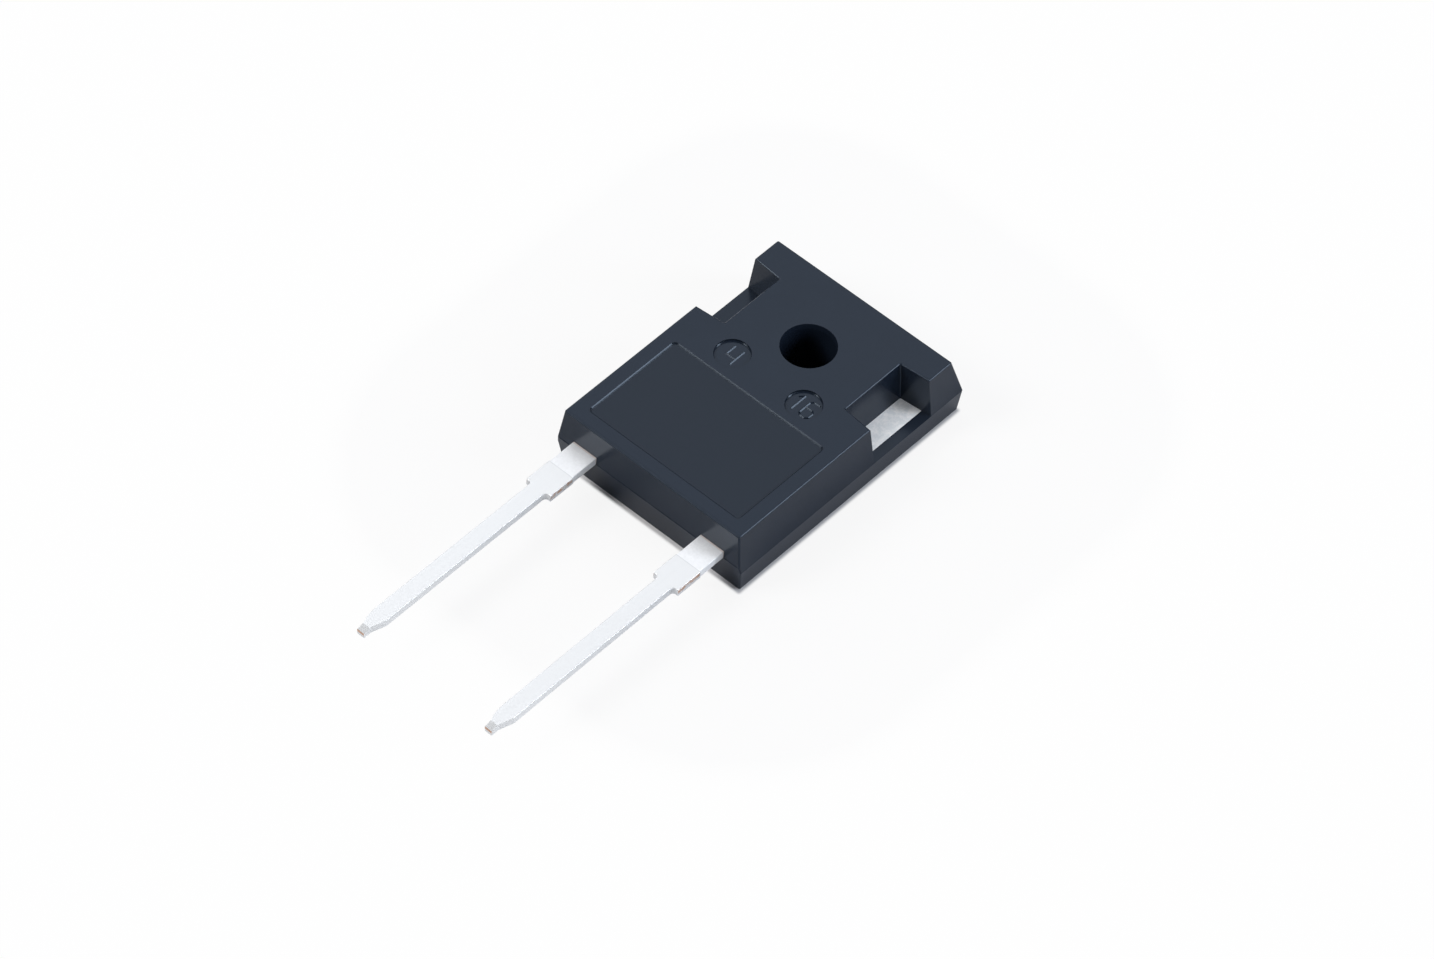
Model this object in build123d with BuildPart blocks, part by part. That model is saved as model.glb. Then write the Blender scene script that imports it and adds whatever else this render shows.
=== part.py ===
from build123d import *

import os

# Silicon carbide Schottky diode in a two-lead, through-hole power package.
#
# The device lies on its heat-sink face. The frame has its origin on the axis of the mounting hole, in
# the plane of the exposed back. +X runs across the body, +Y away from the leads, and +Z towards the
# label face. All sizes are in millimetres.
#
# One transfer-moulded epoxy body holds a copper leadframe of two thicknesses: a thick heat-sink pad
# with the cathode lead, and a separate anode lead. The die is soldered to the pad, and heavy
# aluminium wires join its top to the anode lead's bond post.

# --- Moulded body -----------------------------------------------------------------------------------
body_width = 15.74  # across the side parting lines
body_length = 21.03  # from the lead-end parting line to the far one
body_height = 5.0
hole_to_far_end = 6.14  # from the mounting hole's axis to the far parting line
side_draft_up = 0.425  # how far each wall leans in, from its parting line up to the label face
far_draft_up = 0.85
lead_end_draft_up = 0.27
side_draft_down = 0.27  # and from its parting line down to the back
far_draft_down = 0.08
lead_end_draft_down = 0.33
corner_radius = 0.12  # upright corners of the body
rim_radius = 0.1  # edge all round the label face

# --- Mounting hole ----------------------------------------------------------------------------------
hole_diameter = 3.6
hole_lip = 0.07  # how far the hole opens out towards the label face
hole_lip_depth = 0.4

# --- Side notches, open to the heat sink's top ------------------------------------------------------
notch_depth = 2.71  # from the side parting line to the inner wall, at the label face
notch_length = 5.21  # along Y at the inner wall, at the label face
notch_to_hole = 0.34  # the notch's centre lies this far beyond the hole's axis
notch_flare = 0.083  # how far each end wall opens, for each millimetre outwards
notch_inner_draft = 0.27  # how far the inner wall leans out, from the label face to the floor
notch_end_draft = 0.1  # and each end wall
notch_corner_radius = 0.08

# --- Label field and ejector marks in the label face ------------------------------------------------
label_border = 1.03  # flat border beside the label field and at the lead end
label_to_hole = 5.56  # from the hole's axis to the label field's far edge
label_depth = 0.1
label_corner_radius = 0.34
label_wall_angle = 45
mark_diameter = 2.46
mark_pitch = 6.1
mark_to_hole = 3.82
mark_depth = 0.17
mark_corner = 0.06  # slope where the mark's wall meets its floor

# --- Heat-sink pad ----------------------------------------------------------------------------------
pad_thickness = 1.95
anode_ledge = 0.76  # moulding outside the pad at the side parting line, on the anode's side
cathode_ledge = 1.07  # and on the cathode's side
pad_to_far_end = 1.2  # moulding beyond the exposed back at the far end
pad_to_lead_end = 3.3  # moulding between the pad and the lead-end parting line
lock_step_width = 0.25  # step round the back that lets the moulding grip the pad
lock_step_height = 0.6
ring_diameter = 7.2  # moulded ring round the mounting hole, at the back
ring_neck_diameter = 6.3  # and above its locking step
pad_corner_radius = 0.8

# --- Leads ------------------------------------------------------------------------------------------
lead_pitch = 10.88
lead_length = 20.0  # from the lead-end parting line to the tip
lead_thickness = 0.55
lead_height = 2.44  # underside of the leads above the back
lead_width = 1.22
exit_width = 1.98  # where the lead leaves the body
dam_width = 2.08  # where the dam bar was cut away
dam_start = 2.14  # from the parting line to the dam bar's first cut
shoulder_length = 4.19  # from the parting line to the end of the wide part
shoulder_fillet = 0.25
tip_width = 0.57
tip_length = 0.62  # parallel end of the tip
taper_length = 1.02  # on the side that tapers in one cut
nose_length = 0.3  # short cut on the other side, next to the parallel end
bow_length = 1.12  # long bowed cut that leads to it
bow_depth = 0.15
coin_length = 0.52  # coined slope on top of the tip
coin_depth = 0.13
lead_edge_radius = 0.04  # rolled upper edges left by the stamping die

# --- Inner ends of the leads ------------------------------------------------------------------------
joggle_width = 3.0  # cathode lead where it drops to the pad
joggle_flat = 0.45  # level stretch at each end of the drop
joggle_bend = 0.5  # radius of its bends, at the middle of the strip
inner_cover = 0.75  # moulding between the lead-end parting line and the wide part of each lead
post_gap = 0.75  # moulding between the anode's bond post and the pad
post_width = 4.6
post_overhang = 1.35  # how far the post reaches past the lead's centre line, towards the side wall
post_corner_radius = 0.3
lock_hole_diameter = 0.7  # moulding runs through it and ties the post down

# --- Die and its joints -----------------------------------------------------------------------------
die_size = 4.2
die_thickness = 0.35
die_corner_radius = 0.12
die_to_pad_edge = 1.6  # from the die to the pad's lead-end edge
die_offset = 0.6  # from the body's centre line towards the anode
solder_thickness = 0.06
solder_margin = 0.12  # solder that shows round the die
wire_count = 3
wire_diameter = 0.4
wire_sides = 8  # flats that stand for the wire's round section
wire_edge = 0.75  # from the die's side to the outer wire's centre line
wire_foot_length = 0.8
wire_foot_width = 0.6
wire_foot_height = 0.22
wire_foot_corner = 0.15
wire_foot_setback = 0.75  # from the die's lead-end edge to the middle of the foot
wire_cover = 0.95  # moulding between the top of a loop and the label field's floor
wire_bend = 0.75

# --- Places worked out from the sizes above ---------------------------------------------------------
far_y = hole_to_far_end
lead_end_y = far_y - body_length
side_x = body_width / 2
top_side_x = side_x - side_draft_up
top_far_y = far_y - far_draft_up
top_lead_end_y = lead_end_y + lead_end_draft_up
parting_z = pad_thickness  # the mould halves part in the plane of the pad's top
label_floor_z = body_height - label_depth

tip_y = lead_end_y - lead_length
shoulder_y = lead_end_y - shoulder_length
dam_y = lead_end_y - dam_start
lead_top_z = lead_height + lead_thickness
cathode_x = -lead_pitch / 2
anode_x = lead_pitch / 2
inner_wide_y = lead_end_y + inner_cover

pad_width = body_width - anode_ledge - cathode_ledge
pad_x = (cathode_ledge - anode_ledge) / 2
pad_far_y = far_y - pad_to_far_end + lock_step_width
pad_near_y = lead_end_y + pad_to_lead_end
pad_length = pad_far_y - pad_near_y
pad_middle_y = (pad_far_y + pad_near_y) / 2

die_x = die_offset
die_y = pad_near_y + die_to_pad_edge + die_size / 2
die_seat_z = pad_thickness + solder_thickness
die_top_z = die_seat_z + die_thickness

post_far_y = pad_near_y - post_gap
post_near_y = inner_wide_y
post_right_x = anode_x + post_overhang
post_left_x = post_right_x - post_width
post_middle_y = (post_far_y + post_near_y) / 2


# --- Lead blank: what both leads share outside the body ---------------------------------------------
def lead_blank():
    """One lead from its inner end to its tip, about its own centre line."""
    half = lead_width / 2
    tip_half = tip_width / 2
    end_y = tip_y + tip_length
    with BuildPart() as blank:
        with BuildSketch(Plane.XY.offset(lead_height)):
            with BuildLine():
                Polyline(
                    (-half, end_y + nose_length + bow_length),
                    (-half, shoulder_y),
                    (-dam_width / 2, shoulder_y),
                    (-dam_width / 2, dam_y),
                    (-exit_width / 2, dam_y),
                    (-exit_width / 2, inner_wide_y),
                    (exit_width / 2, inner_wide_y),
                    (exit_width / 2, dam_y),
                    (dam_width / 2, dam_y),
                    (dam_width / 2, shoulder_y),
                    (half, shoulder_y),
                    (half, end_y + taper_length),
                    (tip_half, end_y),
                    (tip_half, tip_y),
                    (-tip_half, tip_y),
                    (-tip_half, end_y),
                    (bow_depth - half, end_y + nose_length),
                )
                TangentArc(
                    (-half, end_y + nose_length + bow_length),
                    (bow_depth - half, end_y + nose_length),
                    tangent=(0, -1),
                )
            make_face()
            inner_corners = [
                corner
                for corner in vertices()
                if abs(corner.Y - shoulder_y) < 1e-6 and abs(abs(corner.X) - half) < 1e-6
            ]
            fillet(inner_corners, shoulder_fillet)
        extrude(amount=lead_thickness)
        # Stamping leaves the upper edges rolled, on the long straight runs.
        top_edges = edges().group_by(Axis.Z)[-1].filter_by(Axis.Y)
        fillet(top_edges.filter_by(lambda edge: edge.length > 1.5), lead_edge_radius)
        # The tip is coined to a slope, so that it finds its hole in the board.
        with BuildSketch(Plane.YZ):
            with BuildLine():
                Polyline(
                    (tip_y, lead_top_z),
                    (tip_y + coin_length, lead_top_z),
                    (tip_y, lead_top_z - coin_depth),
                    close=True,
                )
            make_face()
        extrude(amount=lead_width, both=True, mode=Mode.SUBTRACT)
    return blank.part


lead = lead_blank()

# --- Heat-sink pad and cathode lead, one piece of dual-gauge copper ---------------------------------
with BuildPart() as cathode_leadframe:
    with BuildSketch(Plane.XY):
        with Locations((pad_x, pad_middle_y)):
            RectangleRounded(pad_width, pad_length, pad_corner_radius)
    extrude(amount=pad_thickness)
    # The back is narrower than the top, so that the moulding wraps under the pad's edge.
    with BuildSketch(Plane.XY) as lock_step:
        with Locations((pad_x, pad_middle_y)):
            RectangleRounded(pad_width, pad_length, pad_corner_radius)
            RectangleRounded(
                pad_width - 2 * lock_step_width,
                pad_length - 2 * lock_step_width,
                pad_corner_radius - lock_step_width / 2,
                mode=Mode.SUBTRACT,
            )
    extrude(amount=lock_step_height, mode=Mode.SUBTRACT)
    # A moulded ring lines the mounting hole, and is locked in by a step of its own.
    with Locations(Location((0, 0, 0), (180, 0, 0))):
        CounterBoreHole(
            radius=ring_neck_diameter / 2,
            counter_bore_radius=ring_diameter / 2,
            counter_bore_depth=lock_step_height,
        )
    # The thin lead drops in a joggle to the pad, whose top it meets level.
    lead_middle_z = lead_height + lead_thickness / 2
    land_middle_z = pad_thickness - lead_thickness / 2
    with BuildSketch(Plane.YZ.offset(cathode_x)):
        with BuildLine():
            FilletPolyline(
                (inner_wide_y, lead_middle_z),
                (inner_wide_y + joggle_flat, lead_middle_z),
                (pad_near_y - joggle_flat, land_middle_z),
                (pad_near_y + lock_step_width, land_middle_z),
                radius=joggle_bend,
            )
        trace(line_width=lead_thickness)
    extrude(amount=joggle_width / 2, both=True)
    with Locations((cathode_x, 0, 0)):
        add(lead)
cathode_leadframe.part.label = "cathode_leadframe"

# --- Anode lead with its bond post ------------------------------------------------------------------
with BuildPart() as anode_lead:
    with BuildSketch(Plane.XY.offset(lead_height)):
        with Locations(((post_left_x + post_right_x) / 2, post_middle_y)):
            RectangleRounded(post_width, post_far_y - post_near_y, post_corner_radius)
        with Locations((anode_x, post_middle_y)):
            Circle(lock_hole_diameter / 2, mode=Mode.SUBTRACT)
    extrude(amount=lead_thickness)
    with Locations((anode_x, 0, 0)):
        add(lead)
anode_lead.part.label = "anode_lead"

# --- Solder layer and die ---------------------------------------------------------------------------
with BuildPart() as die_attach_solder:
    with BuildSketch(Plane.XY.offset(pad_thickness)):
        with Locations((die_x, die_y)):
            RectangleRounded(
                die_size + 2 * solder_margin,
                die_size + 2 * solder_margin,
                die_corner_radius + solder_margin,
            )
    extrude(amount=solder_thickness)
die_attach_solder.part.label = "die_attach_solder"

with BuildPart() as die:
    with BuildSketch(Plane.XY.offset(die_seat_z)):
        with Locations((die_x, die_y)):
            RectangleRounded(die_size, die_size, die_corner_radius)
    extrude(amount=die_thickness)
die.part.label = "die"


# --- Bond wires -------------------------------------------------------------------------------------
def bond_wire(number):
    """One looped wire from the die's top to the bond post, with a flattened foot at each end."""
    share = number / (wire_count - 1)
    die_foot = Vector(
        die_x - die_size / 2 + wire_edge + share * (die_size - 2 * wire_edge),
        die_y - die_size / 2 + wire_foot_setback,
        0,
    )
    post_foot = Vector(
        post_left_x + wire_edge + share * (post_width - 2 * wire_edge),
        post_middle_y,
        0,
    )
    run = post_foot - die_foot
    wire_plane = Plane(origin=die_foot, x_dir=run, z_dir=run.cross(Vector(0, 0, 1)))
    reach = run.length
    radius = wire_diameter / 2
    crown_z = label_floor_z - wire_cover - radius
    die_level = die_top_z + wire_foot_height / 2
    post_level = lead_top_z + wire_foot_height / 2
    foot = wire_foot_length / 2
    with BuildPart() as wire:
        with BuildLine(wire_plane) as loop:
            FilletPolyline(
                (-foot / 2, die_level),
                (foot, die_level),
                (reach * 0.3, crown_z),
                (reach * 0.62, crown_z),
                (reach - foot, post_level),
                (reach + foot / 2, post_level),
                radius=wire_bend,
            )
        with BuildSketch(Plane(origin=loop.line @ 0, z_dir=loop.line % 0)):
            RegularPolygon(radius, wire_sides, major_radius=False, rotation=180 / wire_sides)
        sweep(path=loop.line)
        for place, level in ((die_foot, die_top_z), (post_foot, lead_top_z)):
            with BuildSketch(Plane(origin=(place.X, place.Y, level), x_dir=run)):
                foot_outline = Rectangle(wire_foot_length, wire_foot_width)
                chamfer(foot_outline.vertices(), wire_foot_corner)
            extrude(amount=wire_foot_height)
        # The feet are pressed flat on what they are welded to.
        add(die.part, mode=Mode.SUBTRACT)
        add(anode_lead.part, mode=Mode.SUBTRACT)
    wire.part.label = f"bond_wire_{number + 1}"
    return wire.part


bond_wires = [bond_wire(number) for number in range(wire_count)]

# --- Moulded body -----------------------------------------------------------------------------------
with BuildPart() as moulded_body:
    # Side view. The lead end parts at the leads' underside, the far end at the pad's top.
    with BuildSketch(Plane.YZ):
        with BuildLine():
            Polyline(
                (lead_end_y + lead_end_draft_down, 0),
                (lead_end_y, lead_height),
                (top_lead_end_y, body_height),
                (top_far_y, body_height),
                (far_y, parting_z),
                (far_y - far_draft_down, 0),
                close=True,
            )
        make_face()
    extrude(amount=body_width, both=True)
    # End view.
    with BuildSketch(Plane.XZ):
        with BuildLine():
            Polyline(
                (side_draft_down - side_x, 0),
                (-side_x, parting_z),
                (-top_side_x, body_height),
                (top_side_x, body_height),
                (side_x, parting_z),
                (side_x - side_draft_down, 0),
                close=True,
            )
        make_face()
    extrude(amount=body_length, both=True, mode=Mode.INTERSECT)
    upright_edges = edges().filter_by(lambda edge: abs((edge @ 1).Z - (edge @ 0).Z) > rim_radius)
    fillet(upright_edges, corner_radius)

    # Side notches, down to the plane of the pad's top.
    for side in (-1, 1):
        for level, inward, shorter in (
            (body_height, 0, 0),
            (parting_z, notch_inner_draft, notch_end_draft),
        ):
            notch_width = notch_depth - inward
            inner_half = notch_length / 2 - shorter
            outer_half = inner_half + notch_flare * 2 * notch_width
            inner_x = side_x - notch_width
            outer_x = side_x + notch_width
            with BuildSketch(Plane.XY.offset(level)):
                with BuildLine():
                    Polyline(
                        (side * inner_x, notch_to_hole - inner_half),
                        (side * inner_x, notch_to_hole + inner_half),
                        (side * outer_x, notch_to_hole + outer_half),
                        (side * outer_x, notch_to_hole - outer_half),
                        close=True,
                    )
                make_face()
                inner_corners = vertices().filter_by(lambda corner: abs(corner.X) < side_x)
                fillet(inner_corners, notch_corner_radius)
        loft(mode=Mode.SUBTRACT)
    fillet(faces().sort_by(Axis.Z)[-1].outer_wire().edges(), rim_radius)

    # Label field and ejector marks.
    label_width = 2 * (top_side_x - label_border)
    label_near_y = top_lead_end_y + label_border
    with BuildSketch(Plane.XY.offset(body_height)):
        with Locations((0, (label_near_y - label_to_hole) / 2)):
            RectangleRounded(label_width, -label_to_hole - label_near_y, label_corner_radius)
    extrude(amount=-label_depth, taper=label_wall_angle, mode=Mode.SUBTRACT)
    with BuildSketch(Plane.XY.offset(body_height)):
        with Locations((-mark_pitch / 2, -mark_to_hole), (mark_pitch / 2, -mark_to_hole)):
            Circle(mark_diameter / 2)
    extrude(amount=-mark_depth, mode=Mode.SUBTRACT)
    mark_floors = faces().filter_by(lambda face: abs(face.center().Z - body_height + mark_depth) < 1e-6)
    chamfer(mark_floors.edges(), mark_corner)

    # Mounting hole, lined with moulding all the way through.
    with Locations((0, 0, body_height)):
        Hole(hole_diameter / 2)
    with Locations((0, 0, body_height - hole_lip_depth / 2)):
        Cone(
            bottom_radius=hole_diameter / 2,
            top_radius=hole_diameter / 2 + hole_lip,
            height=hole_lip_depth,
            mode=Mode.SUBTRACT,
        )

    # Everything that the epoxy flowed around.
    for embedded in (cathode_leadframe, anode_lead, die_attach_solder, die):
        add(embedded.part, mode=Mode.SUBTRACT)
    for embedded in bond_wires:
        add(embedded, mode=Mode.SUBTRACT)
moulded_body.part.label = "moulded_body"

# --- Export -----------------------------------------------------------------------------------------
os.makedirs("parts", exist_ok=True)
pieces = [moulded_body.part, cathode_leadframe.part, anode_lead.part, die_attach_solder.part, die.part]
for piece in pieces + bond_wires:
    export_step(piece, f"parts/{piece.label}.step")
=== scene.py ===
"""Looks of a silicon carbide Schottky diode in a two-lead, through-hole power package.

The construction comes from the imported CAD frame. This script gives each of its nodes a finish, adds
the raised cavity numbers, the polished lands on the rim of the label face and the mould's flash,
and sets up the studio and the camera.
"""

import logging
import math
import random
from collections.abc import Mapping
from dataclasses import dataclass
from enum import Enum
from typing import Any

import bmesh
import bpy
from mathutils import Matrix, Vector


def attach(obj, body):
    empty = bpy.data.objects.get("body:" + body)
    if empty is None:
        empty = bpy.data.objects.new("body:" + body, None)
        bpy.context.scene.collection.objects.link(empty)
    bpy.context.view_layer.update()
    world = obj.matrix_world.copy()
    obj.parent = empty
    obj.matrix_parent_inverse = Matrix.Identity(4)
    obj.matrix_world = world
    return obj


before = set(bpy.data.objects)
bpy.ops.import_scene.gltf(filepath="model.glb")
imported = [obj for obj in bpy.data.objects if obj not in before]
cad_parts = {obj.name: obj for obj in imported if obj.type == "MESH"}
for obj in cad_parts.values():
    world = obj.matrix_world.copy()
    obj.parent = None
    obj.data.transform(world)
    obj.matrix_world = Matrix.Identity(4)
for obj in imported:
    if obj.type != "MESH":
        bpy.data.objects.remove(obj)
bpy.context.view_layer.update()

log = logging.getLogger("diode")

MM = 0.001

# Socket numbers of a colour mix node, whose sockets share their names with those of other types.
MIX_SHARE, MIX_FIRST, MIX_SECOND, MIX_RESULT = 0, 6, 7, 2

NOISE_ROUGHNESS = 0.6
BUMP_STRENGTH = 0.5

Tree = bpy.types.NodeTree
Value = float | tuple[float, ...] | bpy.types.NodeSocket | bpy.types.Node
Stroke = tuple[tuple[float, float], ...]


# --- Shared helpers -------------------------------------------------------------------------------
class Side(Enum):
    """Sides of the device, each with the sign of its x."""

    LEFT = -1  # the cathode's
    RIGHT = 1  # the anode's


def linear(hex_colour: str) -> tuple[float, float, float, float]:
    """Turn an sRGB hex colour to linear light.

    Args:
        hex_colour: Six hex digits, such as "3c434e".

    Returns:
        Red, green, blue and an alpha of 1.
    """
    channels = [int(hex_colour[start:start + 2], 16) / 255 for start in (0, 2, 4)]
    decoded = [c / 12.92 if c <= 0.04045 else ((c + 0.055) / 1.055) ** 2.4 for c in channels]
    return (*decoded, 1.0)


def add_node(
    tree: Tree, kind: str, inputs: Mapping[str | int, Value] | None = None, **settings: Any
) -> bpy.types.Node:
    """Add one shader node.

    Args:
        tree: The node tree that takes the node.
        kind: The node's type, such as "ShaderNodeMath".
        inputs: For each input's name or number, a value, the socket that feeds it, or the node
            whose first output feeds it.
        settings: The node's own properties.

    Returns:
        The new node.
    """
    node = tree.nodes.new(kind)
    for name, setting in settings.items():
        setattr(node, name, setting)
    for key, value in (inputs or {}).items():
        source = value.outputs[0] if isinstance(value, bpy.types.Node) else value
        if isinstance(source, bpy.types.NodeSocket):
            tree.links.new(source, node.inputs[key])
        else:
            node.inputs[key].default_value = source
    return node


@dataclass(frozen=True)
class Stretch:
    """A stretch of one coordinate in millimetres, and the width over which its ends fade."""

    low: float
    high: float
    soft: float

    def mask(self, tree: Tree, position: Value) -> bpy.types.Node:
        """Mask the stretch.

        Args:
            tree: The node tree.
            position: The coordinate, in metres.

        Returns:
            A node whose result is 1 inside the stretch and 0 outside it.
        """
        ramps = [
            add_node(
                tree,
                "ShaderNodeMapRange",
                {
                    "Value": position,
                    "From Min": (edge - direction * self.soft / 2) * MM,
                    "From Max": (edge + direction * self.soft / 2) * MM,
                },
                interpolation_type="SMOOTHSTEP",
            )
            for edge, direction in ((self.low, 1), (self.high, -1))
        ]
        return add_node(tree, "ShaderNodeMath", dict(enumerate(ramps)), operation="MULTIPLY")


def start_material(name: str) -> tuple[bpy.types.Material, Tree, bpy.types.NodeSocket]:
    """Start a material.

    Args:
        name: What the finish is called.

    Returns:
        The material, its emptied node tree and the object coordinates.
    """
    material = bpy.data.materials.new(name)
    material.use_nodes = True
    tree = material.node_tree
    tree.nodes.clear()
    place = add_node(tree, "ShaderNodeTexCoord").outputs["Object"]
    return material, tree, place


def dress(node: str, material: bpy.types.Material) -> None:
    """Give a CAD node its finish and report it.

    Args:
        node: The node's name.
        material: Its finish.
    """
    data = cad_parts[node].data
    data.materials.clear()
    data.materials.append(material)
    log.info("%s: %s", node, material.name)


def add_bar(
    shape: bmesh.types.BMesh,
    start: Vector,
    end: Vector,
    facing: Vector,
    width: float,
    thickness: float,
) -> None:
    """Add a straight bar with a rectangular section.

    Args:
        shape: The bmesh that takes the bar.
        start: Middle of one end, in millimetres.
        end: Middle of the other end, in millimetres.
        facing: Which way the bar's broad side faces, square to its length.
        width: Width of the broad side, in millimetres.
        thickness: Thickness of the bar, in millimetres.
    """
    along = (end - start).normalized()
    across = facing.normalized().cross(along)
    turn = Matrix((along, across, facing.normalized())).transposed().to_4x4()
    size = Matrix.Diagonal(((end - start).length, width, thickness, 1))
    place = Matrix.Translation((start + end) / 2) @ turn @ size
    bmesh.ops.create_cube(shape, size=1.0, matrix=Matrix.Scale(MM, 4) @ place)


def close_shape(shape: bmesh.types.BMesh, name: str) -> bpy.types.Mesh:
    """Turn a finished bmesh to a mesh.

    Args:
        shape: The bmesh, which is freed.
        name: The mesh's name.

    Returns:
        The new mesh.
    """
    mesh = bpy.data.meshes.new(name)
    shape.to_mesh(mesh)
    shape.free()
    return mesh


def add_piece(name: str, mesh: bpy.types.Mesh, material: bpy.types.Material) -> None:
    """Put a finished mesh in the scene as a piece that rides on the root body, and report it.

    Args:
        name: The piece's name.
        mesh: Its mesh, in the row frame.
        material: Its finish.
    """
    piece = bpy.data.objects.new(name, mesh)
    bpy.context.scene.collection.objects.link(piece)
    mesh.materials.clear()
    mesh.materials.append(material)
    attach(piece, "root")
    log.info("%s: %d faces, %s", name, len(mesh.polygons), material.name)


# --- Finishes -------------------------------------------------------------------------------------
@dataclass(frozen=True)
class MouldedEpoxy:
    """Silica-filled epoxy, transfer moulded in a spark-eroded tool.

    The tool's texture gives a fine satin grain, and the filler a faint mottle. The label field was
    polished a little smoother. The foot of the step round it and the rim above the leads, which the
    polishing did not reach, are duller.
    """

    colour: str = "131a25"
    pale_colour: str = "19212d"
    label_colour: str = "121821"
    label_share: float = 0.7
    sheen_colour: str = "d8eaff"
    ior: float = 1.36
    roughness: float = 0.22
    label_roughness: float = 0.2
    dull_roughness: float = 0.48
    grain_roughness: float = 0.08  # from the grain's smoothest places to its roughest ones
    grain_mm: float = 0.11  # real grain is nearer 0.05 mm, drawn coarser so that it shows
    grain_detail: float = 3.0
    grain_share: float = 0.35
    grain_depth_mm: float = 0.0025
    mottle_mm: float = 2.5
    mottle_detail: float = 4.0
    mottle_share: float = 0.65
    label_x: Stretch = Stretch(-6.4, 6.4, 0.05)
    label_y: Stretch = Stretch(-13.6, -5.55, 0.05)
    foot_z: Stretch = Stretch(4.904, 4.943, 0.01)  # foot of the step round the label field
    rim_y: Stretch = Stretch(-14.63, -14.5, 0.02)  # rim above the leads
    rim_z: Stretch = Stretch(4.88, 6.0, 0.01)

    def base_colour(
        self, tree: Tree, grain: Value, mottle: Value, in_label: Value
    ) -> bpy.types.NodeSocket:
        """Lay out the base colour.

        Args:
            tree: The node tree.
            grain: The fine pattern.
            mottle: The broad pattern.
            in_label: Mask of the label field.

        Returns:
            The colour.
        """
        broad = add_node(
            tree, "ShaderNodeMath", {0: mottle, 1: self.mottle_share}, operation="MULTIPLY"
        )
        pale_share = add_node(
            tree,
            "ShaderNodeMath",
            {0: grain, 1: self.grain_share, 2: broad},
            operation="MULTIPLY_ADD",
        )
        mottled = add_node(
            tree,
            "ShaderNodeMix",
            {
                MIX_SHARE: pale_share,
                MIX_FIRST: linear(self.colour),
                MIX_SECOND: linear(self.pale_colour),
            },
            data_type="RGBA",
        ).outputs[MIX_RESULT]
        label_share = add_node(
            tree, "ShaderNodeMath", {0: in_label, 1: self.label_share}, operation="MULTIPLY"
        )
        return add_node(
            tree,
            "ShaderNodeMix",
            {
                MIX_SHARE: label_share,
                MIX_FIRST: mottled,
                MIX_SECOND: linear(self.label_colour),
            },
            data_type="RGBA",
        ).outputs[MIX_RESULT]

    def surface_roughness(
        self, tree: Tree, grain: Value, in_label: Value, dull: Value
    ) -> bpy.types.Node:
        """Lay out the roughness.

        Args:
            tree: The node tree.
            grain: The fine pattern.
            in_label: Mask of the label field.
            dull: Mask of what the polishing did not reach.

        Returns:
            The node that gives the roughness.
        """
        grained = add_node(
            tree,
            "ShaderNodeMath",
            {0: grain, 1: self.grain_roughness, 2: self.roughness - self.grain_roughness / 2},
            operation="MULTIPLY_ADD",
        )
        polished = add_node(
            tree,
            "ShaderNodeMath",
            {0: in_label, 1: self.label_roughness - self.roughness, 2: grained},
            operation="MULTIPLY_ADD",
        )
        return add_node(
            tree,
            "ShaderNodeMath",
            {0: dull, 1: self.dull_roughness - self.roughness, 2: polished},
            operation="MULTIPLY_ADD",
        )

    def material(self) -> bpy.types.Material:
        """Build the material.

        Returns:
            Near-black, satin epoxy with a cool sheen.
        """
        material, tree, place = start_material("moulded_epoxy")
        across, along, height = add_node(tree, "ShaderNodeSeparateXYZ", {0: place}).outputs
        grain, mottle = (
            add_node(
                tree,
                "ShaderNodeTexNoise",
                {
                    "Vector": place,
                    "Scale": 1 / (size_mm * MM),
                    "Detail": detail,
                    "Roughness": NOISE_ROUGHNESS,
                },
            )
            for size_mm, detail in (
                (self.grain_mm, self.grain_detail),
                (self.mottle_mm, self.mottle_detail),
            )
        )
        in_label = add_node(
            tree,
            "ShaderNodeMath",
            {0: self.label_x.mask(tree, across), 1: self.label_y.mask(tree, along)},
            operation="MULTIPLY",
        )
        foot = add_node(
            tree,
            "ShaderNodeMath",
            {0: in_label, 1: self.foot_z.mask(tree, height)},
            operation="MULTIPLY",
        )
        rim = add_node(
            tree,
            "ShaderNodeMath",
            {0: self.rim_y.mask(tree, along), 1: self.rim_z.mask(tree, height)},
            operation="MULTIPLY",
        )
        dull = add_node(tree, "ShaderNodeMath", {0: foot, 1: rim}, operation="MAXIMUM")
        bump = add_node(
            tree,
            "ShaderNodeBump",
            {"Strength": BUMP_STRENGTH, "Distance": self.grain_depth_mm * MM, "Height": grain},
        )
        shader = add_node(
            tree,
            "ShaderNodeBsdfPrincipled",
            {
                "Base Color": self.base_colour(tree, grain, mottle, in_label),
                "Roughness": self.surface_roughness(tree, grain, in_label, dull),
                "IOR": self.ior,
                "Specular Tint": linear(self.sheen_colour),
                "Normal": bump,
            },
        )
        add_node(tree, "ShaderNodeOutputMaterial", {"Surface": shader})
        return material


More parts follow.
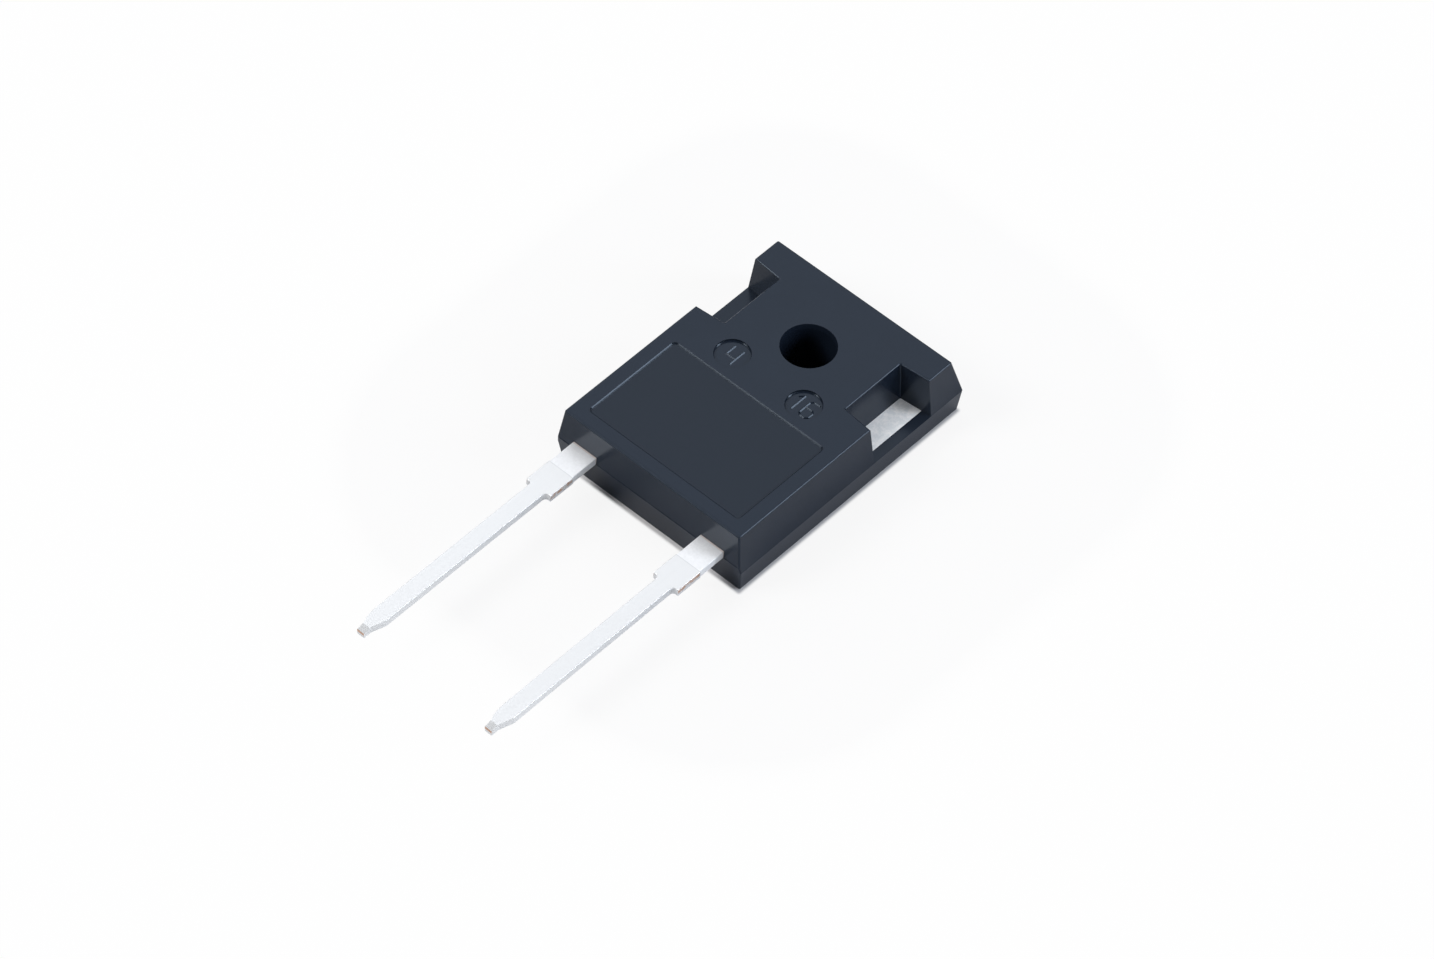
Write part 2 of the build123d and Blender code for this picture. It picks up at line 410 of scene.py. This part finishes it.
@dataclass(frozen=True)
class TinPlatedCopper:
    """Rolled copper strip with matte tin plate.

    The plate is pale and satin, with faint streaks along the leads from the rolling. It is greyer
    and grainier beside the body, where flash was blasted off. Bare copper shows where the bars and
    the tips were cut after plating. The thin copper-brown line where the leads leave the body is
    painted shade and reflection at the junction.
    """

    tin: str = "dadcde"
    streaked_tin: str = "d5d7d9"
    blasted_tin: str = "f0f2f5"
    pitted_tin: str = "dadcdf"
    # The pad's plate in the notches is partly its own plate colour and partly painted light: it is
    # painted whiter and fully matte to stand in for light reaching the notch floor.
    pad_tin_painted_light: str = "ffffff"
    stained_pad_tin_painted_light: str = "eceff1"
    seam_grey: str = "9a9ea2"
    seam_share: float = 0.3
    # Share of the copper colour in the line of painted shade and reflection where the leads leave the
    # body.
    copper: str = "bb9680"
    # Colour of the bare copper, also used for the painted shade line where the leads leave the body.
    junction_shade_share: float = 0.35
    roughness: float = 0.32
    blasted_roughness: float = 0.4
    cloud_roughness: float = 0.06  # from the clouds' smoothest places to their roughest ones
    metallic: float = 0.4
    blasted_metallic: float = 0.22
    pad_metallic: float = 0.0
    grain_mm: float = 0.17  # real grain is nearer 0.04 mm, drawn coarser so that it shows
    grain_detail: float = 2.0
    grain_depth_mm: float = 0.003
    plain_relief: float = 0.05  # share of the grain's depth that the plate has where not blasted
    cloud_mm: float = 1.2
    cloud_detail: float = 3.0
    patch_mm: float = 0.3
    patch_detail: float = 2.0
    patch_start: float = 0.35
    patch_end: float = 0.6
    streak_mm: float = 0.3  # across the strip
    streak_detail: float = 3.0
    streak_squeeze: float = 0.05  # streaks are twenty times as long as they are wide
    lead_centre_mm: float = 5.44
    blasted_y: Stretch = Stretch(-17.03, 20.0, 0.06)  # from the dam bar's cut inwards
    pad_y: Stretch = Stretch(-13.89, 20.0, 0.06)
    seam_y: Stretch = Stretch(-17.07, -17.01, 0.04)
    # Where the line of painted shade and reflection lies, at the junction with the body.
    junction_shade_y: Stretch = Stretch(-14.935, -14.79, 0.03)  # where the leads leave the body
    tip_y: Stretch = Stretch(-34.99, -34.878, 0.01)
    cut_y: Stretch = Stretch(-19.1, -17.09, 0.05)  # where the dam bar was cut away
    cut_reach: Stretch = Stretch(1.028, 3.0, 0.01)  # from the middle of the lead
    upper_half_z: Stretch = Stretch(2.66, 2.96, 0.08)

    def copper_and_junction_shade_share(
        self, tree: Tree, place: bpy.types.NodeSocket, patches: Value
    ) -> bpy.types.Node:
        """Mask the bare copper, and the painted shade line where the leads leave the body.
            patches: The pattern that breaks up the cut faces.

        Returns:
            The node that gives the copper's share of the colour.
        """
        across, along, height = add_node(tree, "ShaderNodeSeparateXYZ", {0: place}).outputs
        side = add_node(tree, "ShaderNodeMath", {0: across}, operation="ABSOLUTE")
        offset = add_node(
            tree, "ShaderNodeMath", {0: side, 1: self.lead_centre_mm * MM}, operation="SUBTRACT"
        )
        reach = add_node(tree, "ShaderNodeMath", {0: offset}, operation="ABSOLUTE")
        cut_face = add_node(
            tree,
            "ShaderNodeMath",
            {0: self.cut_reach.mask(tree, reach), 1: self.cut_y.mask(tree, along)},
            operation="MULTIPLY",
        )
        torn = add_node(tree, "ShaderNodeMath", {0: cut_face, 1: patches}, operation="MULTIPLY")
        bare = add_node(
            tree,
            "ShaderNodeMath",
            {0: self.tip_y.mask(tree, along), 1: torn},
            operation="MAXIMUM",
        )
        cut_copper = add_node(
            tree,
            "ShaderNodeMath",
            {0: bare, 1: self.upper_half_z.mask(tree, height)},
            operation="MULTIPLY",
        )
        # Painted shade and reflection: a thin copper-brown line where the leads meet the body.
        junction_shade = add_node(
            tree,
            "ShaderNodeMath",
            {0: self.junction_shade_y.mask(tree, along), 1: self.junction_shade_share},
            operation="MULTIPLY",
        )
        return add_node(
            tree, "ShaderNodeMath", {0: cut_copper, 1: junction_shade}, operation="MAXIMUM"
        )

    def base_colour(
        self, tree: Tree, place: bpy.types.NodeSocket, masks: Mapping[str, Value]
    ) -> bpy.types.NodeSocket:
        """Lay out the base colour, one coat over another.

        Args:
            tree: The node tree.
            place: The object coordinates.
            masks: The patterns and masks, by name.

        Returns:
            The colour.
        """
        drawn = add_node(
            tree, "ShaderNodeMapping", {"Vector": place, "Scale": (1, self.streak_squeeze, 1)}
        )
        streak = add_node(
            tree,
            "ShaderNodeTexNoise",
            {
                "Vector": drawn,
                "Scale": 1 / (self.streak_mm * MM),
                "Detail": self.streak_detail,
                "Roughness": NOISE_ROUGHNESS,
            },
        )
        tin, blasted, pad = (
            add_node(
                tree,
                "ShaderNodeMix",
                {MIX_SHARE: share, MIX_FIRST: linear(clean), MIX_SECOND: linear(marked)},
                data_type="RGBA",
            ).outputs[MIX_RESULT]
            for share, clean, marked in (
                (streak, self.tin, self.streaked_tin),
                (masks["grain"], self.blasted_tin, self.pitted_tin),
                # The pad's coat is painted lighter than the rest of the plate, as painted light on
                # the notch floor.
                (masks["patches"], self.pad_tin_painted_light, self.stained_pad_tin_painted_light),
            )
        )
        seam = add_node(
            tree,
            "ShaderNodeMath",
            {0: masks["seam"], 1: self.seam_share},
            operation="MULTIPLY",
        )
        inner = add_node(
            tree,
            "ShaderNodeMix",
            {MIX_SHARE: masks["on_pad"], MIX_FIRST: blasted, MIX_SECOND: pad},
            data_type="RGBA",
        ).outputs[MIX_RESULT]
        colour = tin
        for share, coat in (
            (masks["blasted"], inner),
            (seam, linear(self.seam_grey)),
            # Bare copper at the cuts, and the painted shade line at the body, both in the copper's
            # colour.
            (self.copper_and_junction_shade_share(tree, place, masks["patches"]), linear(self.copper)),
        ):
            colour = add_node(
                tree,
                "ShaderNodeMix",
                {MIX_SHARE: share, MIX_FIRST: colour, MIX_SECOND: coat},
                data_type="RGBA",
            ).outputs[MIX_RESULT]
        return colour

    def surface_roughness(self, tree: Tree, cloud: Value, blasted: Value) -> bpy.types.Node:
        """Lay out the roughness.

        Args:
            tree: The node tree.
            cloud: The broad pattern.
            blasted: Mask of the blasted part.

        Returns:
            The node that gives the roughness.
        """
        clouded = add_node(
            tree,
            "ShaderNodeMath",
            {0: cloud, 1: self.cloud_roughness, 2: self.roughness - self.cloud_roughness / 2},
            operation="MULTIPLY_ADD",
        )
        return add_node(
            tree,
            "ShaderNodeMath",
            {0: blasted, 1: self.blasted_roughness - self.roughness, 2: clouded},
            operation="MULTIPLY_ADD",
        )

    def metal_share(self, tree: Tree, blasted: Value, on_pad: Value) -> bpy.types.Node:
        """Lay out how metallic the plate is.

        Args:
            tree: The node tree.
            blasted: Mask of the blasted part.
            on_pad: Mask of the pad.

        Returns:
            The node that gives the metallic value.
        """
        padded = add_node(
            tree,
            "ShaderNodeMath",
            {0: on_pad, 1: self.pad_metallic - self.blasted_metallic, 2: self.metallic},
            operation="MULTIPLY_ADD",
        )
        return add_node(
            tree,
            "ShaderNodeMath",
            {0: blasted, 1: self.blasted_metallic - self.metallic, 2: padded},
            operation="MULTIPLY_ADD",
        )

    def material(self) -> bpy.types.Material:
        """Build the material.

        Returns:
            Pale satin plate with bare copper at its cuts.
        """
        material, tree, place = start_material("tin_plated_copper")
        along = add_node(tree, "ShaderNodeSeparateXYZ", {0: place}).outputs["Y"]
        grain, cloud, patch = (
            add_node(
                tree,
                "ShaderNodeTexNoise",
                {
                    "Vector": place,
                    "Scale": 1 / (size_mm * MM),
                    "Detail": detail,
                    "Roughness": NOISE_ROUGHNESS,
                },
            )
            for size_mm, detail in (
                (self.grain_mm, self.grain_detail),
                (self.cloud_mm, self.cloud_detail),
                (self.patch_mm, self.patch_detail),
            )
        )
        patches = add_node(
            tree,
            "ShaderNodeMapRange",
            {"Value": patch, "From Min": self.patch_start, "From Max": self.patch_end},
        )
        blasted = self.blasted_y.mask(tree, along)
        on_pad = self.pad_y.mask(tree, along)
        masks = {
            "grain": grain,
            "patches": patches,
            "blasted": blasted,
            "on_pad": on_pad,
            "seam": self.seam_y.mask(tree, along),
        }
        depth = add_node(
            tree,
            "ShaderNodeMath",
            {0: blasted, 1: 1 - self.plain_relief, 2: self.plain_relief},
            operation="MULTIPLY_ADD",
        )
        relief = add_node(tree, "ShaderNodeMath", {0: grain, 1: depth}, operation="MULTIPLY")
        bump = add_node(
            tree,
            "ShaderNodeBump",
            {"Strength": BUMP_STRENGTH, "Distance": self.grain_depth_mm * MM, "Height": relief},
        )
        shader = add_node(
            tree,
            "ShaderNodeBsdfPrincipled",
            {
                "Base Color": self.base_colour(tree, place, masks),
                "Metallic": self.metal_share(tree, blasted, on_pad),
                "Roughness": self.surface_roughness(tree, cloud, blasted),
                "Normal": bump,
            },
        )
        add_node(tree, "ShaderNodeOutputMaterial", {"Surface": shader})
        return material


@dataclass(frozen=True)
class InnerMetal:
    """A metal inside the moulding: its own colour, with fine unevenness."""

    name: str
    colour: str
    worn_colour: str
    roughness: float
    grain_mm: float
    grain_detail: float = 3.0

    def material(self) -> bpy.types.Material:
        """Build the material.

        Returns:
            Bare metal that is a little uneven in colour.
        """
        material, tree, place = start_material(self.name)
        grain = add_node(
            tree,
            "ShaderNodeTexNoise",
            {
                "Vector": place,
                "Scale": 1 / (self.grain_mm * MM),
                "Detail": self.grain_detail,
                "Roughness": NOISE_ROUGHNESS,
            },
        )
        colour = add_node(
            tree,
            "ShaderNodeMix",
            {
                MIX_SHARE: grain,
                MIX_FIRST: linear(self.colour),
                MIX_SECOND: linear(self.worn_colour),
            },
            data_type="RGBA",
        ).outputs[MIX_RESULT]
        shader = add_node(
            tree,
            "ShaderNodeBsdfPrincipled",
            {"Base Color": colour, "Metallic": 1.0, "Roughness": self.roughness},
        )
        add_node(tree, "ShaderNodeOutputMaterial", {"Surface": shader})
        return material


@dataclass(frozen=True)
class PaleFloor:
    """Plain white card, rolled smooth and without sheen.

    It shows the device's shadow close by and reads as pure white further out. Straight under the
    mounting hole the card is painted dark, a painted shade, so that the hole stays black.
    """

    colour: str = "dcdcde"
    card_roughness: float = 0.5
    white: str = "ffffff"
    body_middle_y_mm: float = -4.4
    body_half_width_mm: float = 7.68
    body_half_length_mm: float = 10.3
    contact_edge_mm: float = 0.3
    near_white_share: float = 0.88
    fade_start_mm: float = 1.4
    fade_end_mm: float = 16.0
    far_white_share: float = 0.97
    # Colour and reach of the painted shade on the card under the mounting hole.
    painted_shade_colour: str = "1c1c1c"
    painted_shade_reach: Stretch = Stretch(-4.0, 4.0, 1.0)  # both ways from the hole's axis

    def distance(self, tree: Tree, across: Value, along: Value) -> bpy.types.Node:
        """Measure how far the floor lies from the rectangle that the body covers.

        Args:
            tree: The node tree.
            across: The x coordinate, in metres.
            along: The y coordinate, in metres.

        Returns:
            The node that gives the distance, in metres.
        """
        from_middle = add_node(
            tree, "ShaderNodeMath", {0: along, 1: self.body_middle_y_mm * MM}, operation="SUBTRACT"
        )
        squares = []
        for position, half_mm in (
            (across, self.body_half_width_mm),
            (from_middle, self.body_half_length_mm),
        ):
            reach = add_node(tree, "ShaderNodeMath", {0: position}, operation="ABSOLUTE")
            past = add_node(
                tree, "ShaderNodeMath", {0: reach, 1: half_mm * MM}, operation="SUBTRACT"
            )
            gap = add_node(tree, "ShaderNodeMath", {0: past, 1: 0.0}, operation="MAXIMUM")
            squares.append(
                add_node(tree, "ShaderNodeMath", {0: gap, 1: gap}, operation="MULTIPLY")
            )
        total = add_node(tree, "ShaderNodeMath", dict(enumerate(squares)), operation="ADD")
        return add_node(tree, "ShaderNodeMath", {0: total}, operation="SQRT")

    def white_share(self, tree: Tree, distance: Value) -> bpy.types.Node:
        """Lay out how far the card is drowned in white.

        Args:
            tree: The node tree.
            distance: The distance from the body, in metres.

        Returns:
            The node that gives white's share for the camera and for reflections.
        """
        near, far = (
            add_node(
                tree,
                "ShaderNodeMapRange",
                {"Value": distance, "From Min": start * MM, "From Max": end * MM, "To Max": share},
                interpolation_type="SMOOTHSTEP",
            )
            for start, end, share in (
                (0.0, self.contact_edge_mm, self.near_white_share),
                (self.fade_start_mm, self.fade_end_mm, self.far_white_share),
            )
        )
        rays = add_node(tree, "ShaderNodeLightPath").outputs
        reflected = add_node(
            tree,
            "ShaderNodeMath",
            {0: rays["Is Glossy Ray"], 1: rays["Is Transmission Ray"]},
            operation="MAXIMUM",
        )
        seen = add_node(tree, "ShaderNodeMath", {0: near, 1: far}, operation="MAXIMUM")
        to_camera = add_node(
            tree, "ShaderNodeMath", {0: rays["Is Camera Ray"], 1: seen}, operation="MULTIPLY"
        )
        return add_node(
            tree,
            "ShaderNodeMath",
            {0: reflected, 1: far, 2: to_camera},
            operation="MULTIPLY_ADD",
        )

    def material(self) -> bpy.types.Material:
        """Build the material.

        Returns:
            White card that catches a faint shadow round the body.
        """
        material, tree, place = start_material("pale_floor")
        across, along, _ = add_node(tree, "ShaderNodeSeparateXYZ", {0: place}).outputs
        share = self.white_share(tree, self.distance(tree, across, along))
        # Painted shade: the card is painted dark under the mounting hole, so that the hole reads
        # black.
        painted_shade_under_hole = add_node(
            tree,
            "ShaderNodeMath",
            {0: self.painted_shade_reach.mask(tree, across), 1: self.painted_shade_reach.mask(tree, along)},
            operation="MULTIPLY",
        )
        colour = add_node(
            tree,
            "ShaderNodeMix",
            {
                MIX_SHARE: painted_shade_under_hole,
                MIX_FIRST: linear(self.colour),
                MIX_SECOND: linear(self.painted_shade_colour),
            },
            data_type="RGBA",
        ).outputs[MIX_RESULT]
        card = add_node(
            tree, "ShaderNodeBsdfDiffuse", {"Color": colour, "Roughness": self.card_roughness}
        )
        glow = add_node(
            tree, "ShaderNodeEmission", {"Color": linear(self.white), "Strength": 1.0}
        )
        shader = add_node(tree, "ShaderNodeMixShader", {0: share, 1: card, 2: glow})
        add_node(tree, "ShaderNodeOutputMaterial", {"Surface": shader})
        return material


# --- Moulded package ------------------------------------------------------------------------------
# Lines of each digit, on a grid that is two wide and four high.
DIGIT_STROKES: dict[str, tuple[Stroke, ...]] = {
    "1": (((0.2, 3.1), (1.0, 4.0), (1.0, 0.0)),),
    "4": (((0.0, 4.0), (0.0, 1.6), (2.0, 1.6)), ((2.0, 4.0), (2.0, 0.0))),
    "6": (
        (
            (1.8, 4.0),
            (0.5, 4.0),
            (0.0, 3.4),
            (0.0, 0.5),
            (0.5, 0.0),
            (1.5, 0.0),
            (2.0, 0.5),
            (2.0, 1.7),
            (1.5, 2.2),
            (0.0, 2.2),
        ),
    ),
}


@dataclass(frozen=True)
class CavityNumber:
    """Raised digits on the floor of an ejector mark, which say which mould cavity it was.

    Each digit is engraved in the tool with a pointed cutter, so it stands up as ridges with sloped
    sides.
    """

    digits: str
    side: Side
    pitch_mm: float = 6.1
    mark_y_mm: float = -3.82
    floor_mm: float = 4.83
    height_mm: float = 1.4
    width_mm: float = 0.75
    spacing_mm: float = 0.95
    relief_mm: float = 0.068

    def place(self, middle_mm: float, across: float, high: float) -> Vector:
        """Place one point of a digit.

        Args:
            middle_mm: How far the digit's middle lies to the right of the mark's.
            across: The point's place on the digit's grid, from 0 to 2.
            high: The point's place on the digit's grid, from 0 to 4.

        Returns:
            The point on the floor of the mark, in millimetres.
        """
        centre = Vector((self.side.value * self.pitch_mm / 2, self.mark_y_mm, self.floor_mm))
        beside = middle_mm + (across - 1) * self.width_mm / 2
        return centre + Vector((beside, (high - 2) * self.height_mm / 4, 0))

    def mesh(self) -> bpy.types.Mesh:
        """Build the digits in place.

        Returns:
            A mesh of ridges with sloped sides, half sunk in the floor of the mark.
        """
        up = Vector((0, 0, 1))
        section = self.relief_mm * math.sqrt(2)
        shape = bmesh.new()
        for order, digit in enumerate(self.digits):
            middle_mm = (order - (len(self.digits) - 1) / 2) * self.spacing_mm
            for stroke in DIGIT_STROKES[digit]:
                corners = [self.place(middle_mm, across, high) for across, high in stroke]
                for start, end in zip(corners, corners[1:]):
                    beside = up.cross(end - start).normalized()
                    add_bar(shape, start, end, up + beside, section, section)
        return close_shape(shape, "cavity_digits")


@dataclass(frozen=True)
class RimLand:
    """Narrow flat that the polished edge of the tool leaves along the rim of the label face."""

    start_mm: tuple[float, float]
    end_mm: tuple[float, float]
    outward: tuple[float, float]
    top_mm: float = 5.0
    rim_offset_mm: float = 0.066  # from the label face's edge to the middle of the rounded rim
    rim_drop_mm: float = 0.026
    facing_out: float = 0.68
    facing_up: float = 0.73
    width_mm: float = 0.046
    thickness_mm: float = 0.012
    stand_mm: float = 0.002

    def add_to(self, shape: bmesh.types.BMesh, side: Side) -> None:
        """Add the flat on one side of the body.

        Args:
            shape: The bmesh that takes it.
            side: The side of the body.
        """
        out = Vector((side.value * self.outward[0], self.outward[1], 0))
        facing = (out * self.facing_out + Vector((0, 0, self.facing_up))).normalized()
        shift = out * self.rim_offset_mm - Vector((0, 0, self.rim_drop_mm))
        shift += facing * (self.stand_mm - self.thickness_mm / 2)
        ends = [
            Vector((side.value * across, along, self.top_mm)) + shift
            for across, along in (self.start_mm, self.end_mm)
        ]
        add_bar(shape, *ends, facing, self.width_mm, self.thickness_mm)


@dataclass(frozen=True)
class PartingFlash:
    """Thin feather of epoxy that seeped between the mould halves beside the leads."""

    start_x_mm: float
    end_x_mm: float
    y_mm: float = -14.89
    z_mm: float = 2.44
    reach_mm: float = 0.035
    least_share: float = 0.35  # of the reach, where the feather is shortest
    thickness_mm: float = 0.03
    step_mm: float = 0.12

    def mesh(self) -> bpy.types.Mesh:
        """Build the feather in place.

        Returns:
            A closed strip whose outer edge wanders a little.
        """
        draws = random.Random(round(self.start_x_mm * 100))
        length = self.end_x_mm - self.start_x_mm
        steps = max(2, round(length / self.step_mm))
        shape = bmesh.new()
        bmesh.ops.create_cube(shape, size=1.0)
        size = (length, 2 * self.reach_mm, self.thickness_mm)
        bmesh.ops.scale(shape, vec=size, verts=shape.verts)
        long_edges = [
            edge
            for edge in shape.edges
            if abs(edge.verts[0].co.x - edge.verts[1].co.x) > length / 2
        ]
        bmesh.ops.subdivide_edges(shape, edges=long_edges, cuts=steps - 1, use_grid_fill=True)
        wander = {}
        for vertex in shape.verts:
            if vertex.co.y < 0:
                key = round(vertex.co.x, 4)
                wander.setdefault(key, draws.uniform(self.least_share, 1.0))
                vertex.co.y *= wander[key]
        middle = Vector(((self.start_x_mm + self.end_x_mm) / 2, self.y_mm, self.z_mm))
        bmesh.ops.translate(shape, vec=middle, verts=shape.verts)
        bmesh.ops.scale(shape, vec=(MM, MM, MM), verts=shape.verts)
        bmesh.ops.recalc_face_normals(shape, faces=shape.faces)
        return close_shape(shape, "parting_flash")


@dataclass(frozen=True)
class MouldedPackage:
    """The epoxy body, its cavity numbers, its rim lands and the flash along its lead end."""

    finish: MouldedEpoxy = MouldedEpoxy()
    slot: str = "epoxy_moulding"
    left_digits: str = "4"
    right_digits: str = "16"
    rim_lands: tuple[RimLand, ...] = (
        RimLand((7.358, -14.45), (7.358, -2.6), (1.0, 0.0)),
        RimLand((7.358, 3.28), (7.358, 5.12), (1.0, 0.0)),
        RimLand((5.069, -2.15), (5.069, 2.83), (1.0, 0.0)),
        RimLand((5.29, 3.052), (7.3, 3.219), (0.083, -0.9965)),
    )
    lead_inner_x_mm: float = 4.46
    lead_outer_x_mm: float = 6.42
    side_x_mm: float = 7.6

    def lands_mesh(self, side: Side) -> bpy.types.Mesh:
        """Build one side's rim lands.

        Args:
            side: The side of the body.

        Returns:
            One mesh with all the lands of that side.
        """
        shape = bmesh.new()
        for land in self.rim_lands:
            land.add_to(shape, side)
        return close_shape(shape, f"rim_lands_{side.name.lower()}")

    def build(self) -> None:
        """Dress the CAD body and add the pieces that stand on it."""
        epoxy = self.finish.material()
        dress("moulded_body", epoxy)
        for side, digits in ((Side.LEFT, self.left_digits), (Side.RIGHT, self.right_digits)):
            number = CavityNumber(digits, side).mesh()
            add_piece(f"cavity_number_{side.name.lower()}", number, epoxy)
        for side in Side:
            lands = self.lands_mesh(side)
            add_piece(f"rim_lands_{side.name.lower()}", lands, epoxy)
        for name, start_mm, end_mm in (
            ("parting_flash_left", -self.side_x_mm, -self.lead_outer_x_mm),
            ("parting_flash_middle", -self.lead_inner_x_mm, self.lead_inner_x_mm),
            ("parting_flash_right", self.lead_outer_x_mm, self.side_x_mm),
        ):
            add_piece(name, PartingFlash(start_mm, end_mm).mesh(), epoxy)


# --- Leads and chip -------------------------------------------------------------------------------
@dataclass(frozen=True)
class LeadFrame:
    """The heat-sink pad with the cathode lead, and the anode lead."""

    finish: TinPlatedCopper = TinPlatedCopper()

    def build(self) -> None:
        """Dress both pieces of copper."""
        plated = self.finish.material()
        for node in ("cathode_leadframe", "anode_lead"):
            dress(node, plated)


@dataclass(frozen=True)
class Chip:
    """The die with its solder and bond wires, sealed inside the body."""

    # Silicon carbide, sawn and polished, under a thin sputtered metal: grey-green and glossy.
    carbide: InnerMetal = InnerMetal("metallised_carbide", "8f9a96", "6f7c78", 0.25, 0.4)
    # Soft solder that set from the melt: a dull, slightly cloudy grey.
    solder: InnerMetal = InnerMetal("reflowed_solder", "9a9ca0", "85878b", 0.45, 0.2)
    # Pure aluminium wire, drawn through a die: bright and fairly smooth.
    wire: InnerMetal = InnerMetal("drawn_aluminium", "d4d6d8", "c2c5c8", 0.3, 0.1)

    def build(self) -> None:
        """Dress every inner node."""
        dress("die", self.carbide.material())
        dress("die_attach_solder", self.solder.material())
        drawn = self.wire.material()
        for node in sorted(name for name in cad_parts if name.startswith("bond_wire")):
            dress(node, drawn)


# --- Studio and camera ----------------------------------------------------------------------------
@dataclass(frozen=True)
class SoftBox:
    """A flat lamp that faces the device."""

    name: str
    azimuth_deg: float
    elevation_deg: float
    width_mm: float
    height_mm: float
    radiance: float
    colour: str
    distance_mm: float = 500.0

    def build(self) -> None:
        """Hang the lamp."""
        lamp = bpy.data.lights.new(self.name, "AREA")
        lamp.shape = "RECTANGLE"
        lamp.size = self.width_mm * MM
        lamp.size_y = self.height_mm * MM
        lamp.energy = self.radiance * math.pi * lamp.size * lamp.size_y
        lamp.color = linear(self.colour)[:3]
        holder = bpy.data.objects.new(self.name, lamp)
        turn = Matrix.Rotation(math.radians(self.azimuth_deg), 4, "Z")
        tip = Matrix.Rotation(math.radians(90 - self.elevation_deg), 4, "X")
        away = Matrix.Translation((0, 0, self.distance_mm * MM))
        holder.matrix_world = turn @ tip @ away
        bpy.context.scene.collection.objects.link(holder)


@dataclass(frozen=True)
class Viewpoint:
    """The camera: a long lens, above and to the right of the leads."""

    azimuth_deg: float = 40.789
    elevation_deg: float = 50.272
    roll_deg: float = 2.443
    distance_mm: float = 410.42
    target_mm: tuple[float, float, float] = (1.905, -10.545, 2.5)
    lens_mm: float = 164.19
    sensor_mm: float = 36.0
    nearest_m: float = 0.01
    furthest_m: float = 10.0

    def build(self) -> None:
        """Make the camera the scene's own."""
        data = bpy.data.cameras.new("camera")
        data.lens = self.lens_mm
        data.sensor_width = self.sensor_mm
        data.sensor_fit = "HORIZONTAL"
        data.clip_start = self.nearest_m
        data.clip_end = self.furthest_m
        camera = bpy.data.objects.new("camera", data)
        camera.matrix_world = (
            Matrix.Translation(Vector(self.target_mm) * MM)
            @ Matrix.Rotation(math.radians(self.azimuth_deg), 4, "Z")
            @ Matrix.Rotation(math.radians(90 - self.elevation_deg), 4, "X")
            @ Matrix.Rotation(math.radians(self.roll_deg), 4, "Z")
            @ Matrix.Translation((0, 0, self.distance_mm * MM))
        )
        bpy.context.scene.collection.objects.link(camera)
        bpy.context.scene.camera = camera


@dataclass(frozen=True)
class Studio:
    """Plain pale floor, soft lamps and a white background."""

    floor: PaleFloor = PaleFloor()
    floor_side_mm: float = 6000.0
    floor_drop_mm: float = 0.01
    ambient: float = 0.05
    ambient_colour: str = "ffffff"
    horizon_band: float = 0.14
    # Each lamp: name, azimuth, elevation, width, height, radiance, colour.
    lamps: tuple[SoftBox, ...] = (
        SoftBox("key_front_left", -38.0, 42.0, 210.0, 210.0, 12.0, "fffcf9"),
        SoftBox("fill_left", -105.0, 38.0, 240.0, 240.0, 2.2, "fbfdff"),
        SoftBox("sheen_back_left", -139.0, 53.0, 340.0, 340.0, 1.4, "fbfcff"),
        SoftBox("rim_right", 122.0, 28.0, 130.0, 300.0, 10.5, "f0f6ff"),
        SoftBox("side_right", 84.0, 22.0, 240.0, 160.0, 4.5, "f2f7ff"),
        SoftBox("overhead", 150.0, 78.0, 260.0, 260.0, 2.5, "fbfdff"),
    )
    viewpoint: Viewpoint = Viewpoint()

    def build_floor(self) -> None:
        """Lay the floor just under the device."""
        shape = bmesh.new()
        bmesh.ops.create_grid(
            shape, x_segments=1, y_segments=1, size=self.floor_side_mm / 2 * MM
        )
        bmesh.ops.translate(shape, vec=(0, 0, -self.floor_drop_mm * MM), verts=shape.verts)
        mesh = close_shape(shape, "floor")
        mesh.materials.append(self.floor.material())
        floor = bpy.data.objects.new("floor", mesh)
        bpy.context.scene.collection.objects.link(floor)

    def build_world(self) -> None:
        """Set an even, dim light from all round, with a white band at the horizon."""
        world = bpy.data.worlds.new("studio")
        bpy.context.scene.world = world
        world.use_nodes = True
        tree = world.node_tree
        tree.nodes.clear()
        direction = add_node(tree, "ShaderNodeTexCoord").outputs["Generated"]
        height = add_node(tree, "ShaderNodeSeparateXYZ", {0: direction}).outputs["Z"]
        steepness = add_node(tree, "ShaderNodeMath", {0: height}, operation="ABSOLUTE")
        strength = add_node(
            tree,
            "ShaderNodeMapRange",
            {
                "Value": steepness,
                "From Min": self.horizon_band / 2,
                "From Max": self.horizon_band,
                "To Min": 1.0,
                "To Max": self.ambient,
            },
            interpolation_type="SMOOTHSTEP",
        )
        background = add_node(
            tree,
            "ShaderNodeBackground",
            {"Color": linear(self.ambient_colour), "Strength": strength},
        )
        add_node(tree, "ShaderNodeOutputWorld", {"Surface": background})

    def build(self) -> None:
        """Build the floor, the world, the lamps and the camera."""
        self.build_floor()
        self.build_world()
        for lamp in self.lamps:
            lamp.build()
        self.viewpoint.build()
        bpy.context.scene.view_settings.view_transform = "Standard"


def main() -> None:
    """Dress the device, add its small pieces and set up the studio."""
    logging.basicConfig(level=logging.INFO, format="%(message)s")
    Studio().build()
    MouldedPackage().build()
    LeadFrame().build()
    Chip().build()


if __name__ == "__main__":
    main()
